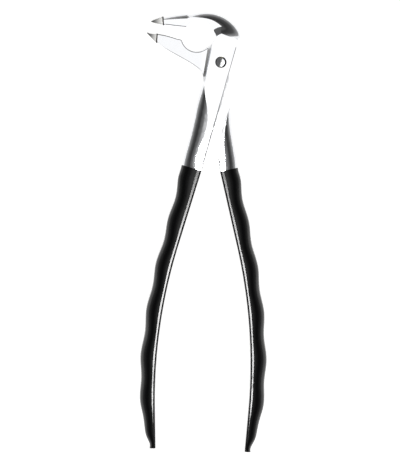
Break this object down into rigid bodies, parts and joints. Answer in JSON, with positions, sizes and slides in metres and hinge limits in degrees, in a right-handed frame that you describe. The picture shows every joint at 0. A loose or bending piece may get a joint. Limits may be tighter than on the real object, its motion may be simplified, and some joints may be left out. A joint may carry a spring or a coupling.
{
  "type": "lap-joint nipper",
  "caption": "Slim one-hand steel nipper of the forceps pattern, with short pointed jaws at right angles to long finger-waved grips, a round throat and a slotted pivot screw.",
  "frame": {"origin": "on the pivot screw's axis, on the back face of the rear lap", "axes": "+X across the tool, away from the jaw tips; +Y along the tool, from the handles towards the head; +Z out of the front face, along the pivot axis, on the slotted side of the screw"},
  "size_m": [0.0515, 0.1791, 0.0094],
  "materials": {
    "polished_steel": "polished stainless steel",
    "screw_steel": "turned and polished stainless steel",
    "tip_metal": "finely ground hard metal",
    "braze": "dark brazed joint",
    "black_grip": "glossy black moulded plastic"
  },
  "bodies": {
    "rear_half": {"rear_lever": "polished_steel", "pivot_screw": "screw_steel", "lower_jaw_tip": "tip_metal", "lower_tip_seam": "braze", "right_grip": "black_grip"},
    "front_half": {"front_lever": "polished_steel", "upper_jaw_tip": "tip_metal", "upper_tip_seam": "braze", "left_grip": "black_grip"}
  },
  "joints": [
    {"name": "pivot", "type": "hinge", "parent": "rear_half", "child": "front_half", "pos_m": [0, 0, 0], "axis": [0, 0, 1], "range_deg": [-5, 7.5]}
  ]
}
